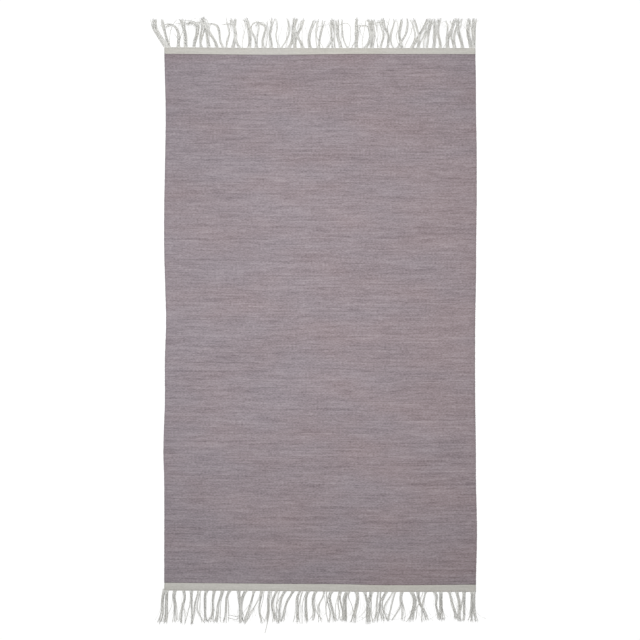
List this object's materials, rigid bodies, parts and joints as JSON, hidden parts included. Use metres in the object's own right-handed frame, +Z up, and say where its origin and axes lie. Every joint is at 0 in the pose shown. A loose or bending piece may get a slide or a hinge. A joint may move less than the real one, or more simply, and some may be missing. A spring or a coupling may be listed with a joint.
{
  "type": "cotton rug",
  "caption": "Flat-woven cotton rug in lilac-grey melange with a cream woven band and a loose gathered warp fringe at each end, lying flat on a floor.",
  "frame": {"origin": "middle of the woven cloth, on its underside", "axes": "+Z up out of the floor, +Y along the rug to the far fringe, +X across it to the right"},
  "size_m": [0.7223, 1.3778, 0.003],
  "materials": {
    "lilac_weave": "matte weft-faced cotton weave with fine sideways streaks",
    "cream_cotton": "matte undyed cotton yarn"
  },
  "bodies": {
    "root": {"woven_field": "lilac_weave", "far_fringe": "cream_cotton", "near_fringe": "cream_cotton"}
  },
  "joints": []
}
